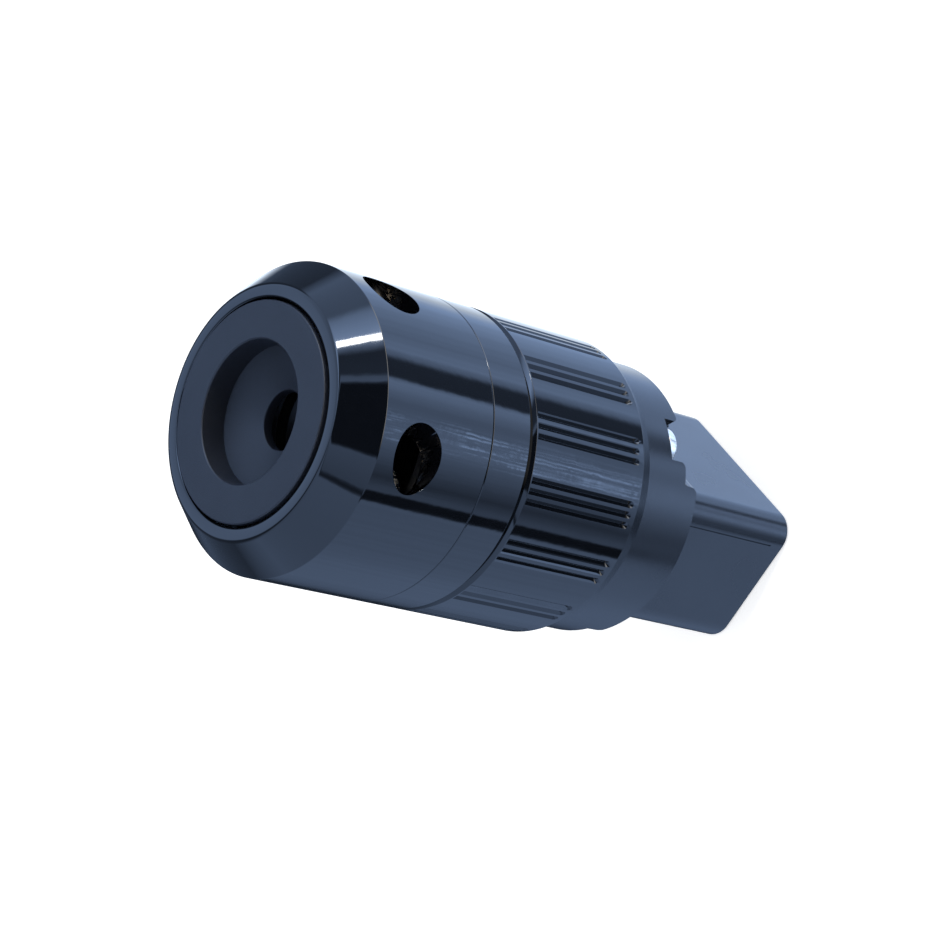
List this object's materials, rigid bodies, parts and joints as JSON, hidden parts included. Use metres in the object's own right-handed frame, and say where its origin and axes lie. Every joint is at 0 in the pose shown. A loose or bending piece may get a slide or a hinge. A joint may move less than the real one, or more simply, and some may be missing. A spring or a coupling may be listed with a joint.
{
  "type": "iec power connector",
  "caption": "Round black rewireable female power connector with a rectangular nose, fluted grip, cable clamp and screw terminals.",
  "frame": {"origin": "centre of the mating face's bounding box, on the face", "axes": "+Z from the mating face to the cable end, +X along the boss's long side, +Y towards the earth slot"},
  "size_m": [0.04, 0.04, 0.0827],
  "materials": {
    "gloss_shell": "high gloss black",
    "nose_moulding": "satin black",
    "inner_moulding": "satin black",
    "bush_plastic": "matt black",
    "screw_steel": "bright",
    "contact_brass": "satin"
  },
  "bodies": {
    "shell": {"rear_cap": "gloss_shell", "marking_band": "gloss_shell", "grip_sleeve": "gloss_shell", "nose_insulator": "nose_moulding", "rear_insulator": "inner_moulding", "core_frame": "inner_moulding", "clamp_nut_left": "contact_brass", "clamp_nut_right": "contact_brass", "entry_bush": "bush_plastic", "cable_reducer": "bush_plastic", "assembly_screw_upper": "screw_steel", "assembly_screw_lower": "screw_steel", "contact_line": "contact_brass", "contact_neutral": "contact_brass", "contact_earth": "contact_brass"},
    "saddle": {"clamp_saddle": "inner_moulding"},
    "left_clamp_screw": {"clamp_screw_left": "screw_steel"},
    "right_clamp_screw": {"clamp_screw_right": "screw_steel"},
    "line_pad": {"pressure_pad_line": "contact_brass"},
    "line_terminal_screw": {"terminal_screw_line": "screw_steel"},
    "neutral_pad": {"pressure_pad_neutral": "contact_brass"},
    "neutral_terminal_screw": {"terminal_screw_neutral": "screw_steel"},
    "earth_pad": {"pressure_pad_earth": "contact_brass"},
    "earth_terminal_screw": {"terminal_screw_earth": "screw_steel"}
  },
  "joints": [
    {"name": "saddle_slide", "type": "slide", "parent": "shell", "child": "saddle", "axis": [-0.5, -0.866, 0], "range_m": [0, 0.003]},
    {"name": "left_clamp_screw_turn", "type": "hinge", "parent": "saddle", "child": "left_clamp_screw", "pos_m": [-0.00966, 0.00558, 0.0716], "axis": [-0.5, -0.866, 0], "range_deg": [0, 1542.86]},
    {"name": "right_clamp_screw_turn", "type": "hinge", "parent": "saddle", "child": "right_clamp_screw", "pos_m": [0.00966, -0.00558, 0.0716], "axis": [-0.5, -0.866, 0], "range_deg": [0, 1542.86]},
    {"name": "line_pad_slide", "type": "slide", "parent": "shell", "child": "line_pad", "axis": [1, 0, 0], "range_m": [0, 0.0014]},
    {"name": "line_terminal_screw_turn", "type": "hinge", "parent": "line_pad", "child": "line_terminal_screw", "pos_m": [-0.0065, -0.004, 0.0396], "axis": [1, 0, 0], "range_deg": [0, 840]},
    {"name": "neutral_pad_slide", "type": "slide", "parent": "shell", "child": "neutral_pad", "axis": [-1, 0, 0], "range_m": [0, 0.0014]},
    {"name": "neutral_terminal_screw_turn", "type": "hinge", "parent": "neutral_pad", "child": "neutral_terminal_screw", "pos_m": [0.0065, -0.004, 0.0396], "axis": [-1, 0, 0], "range_deg": [0, 840]},
    {"name": "earth_pad_slide", "type": "slide", "parent": "shell", "child": "earth_pad", "axis": [0, -1, 0], "range_m": [0, 0.0014]},
    {"name": "earth_terminal_screw_turn", "type": "hinge", "parent": "earth_pad", "child": "earth_terminal_screw", "pos_m": [0, 0.004, 0.0396], "axis": [0, -1, 0], "range_deg": [0, 840]}
  ],
  "couplings": [
    {"joint": "left_clamp_screw_turn", "follows": "saddle_slide", "rad_per_m": 8976},
    {"joint": "right_clamp_screw_turn", "follows": "saddle_slide", "rad_per_m": 8976},
    {"joint": "line_terminal_screw_turn", "follows": "line_pad_slide", "rad_per_m": 10472},
    {"joint": "neutral_terminal_screw_turn", "follows": "neutral_pad_slide", "rad_per_m": 10472},
    {"joint": "earth_terminal_screw_turn", "follows": "earth_pad_slide", "rad_per_m": 10472}
  ]
}
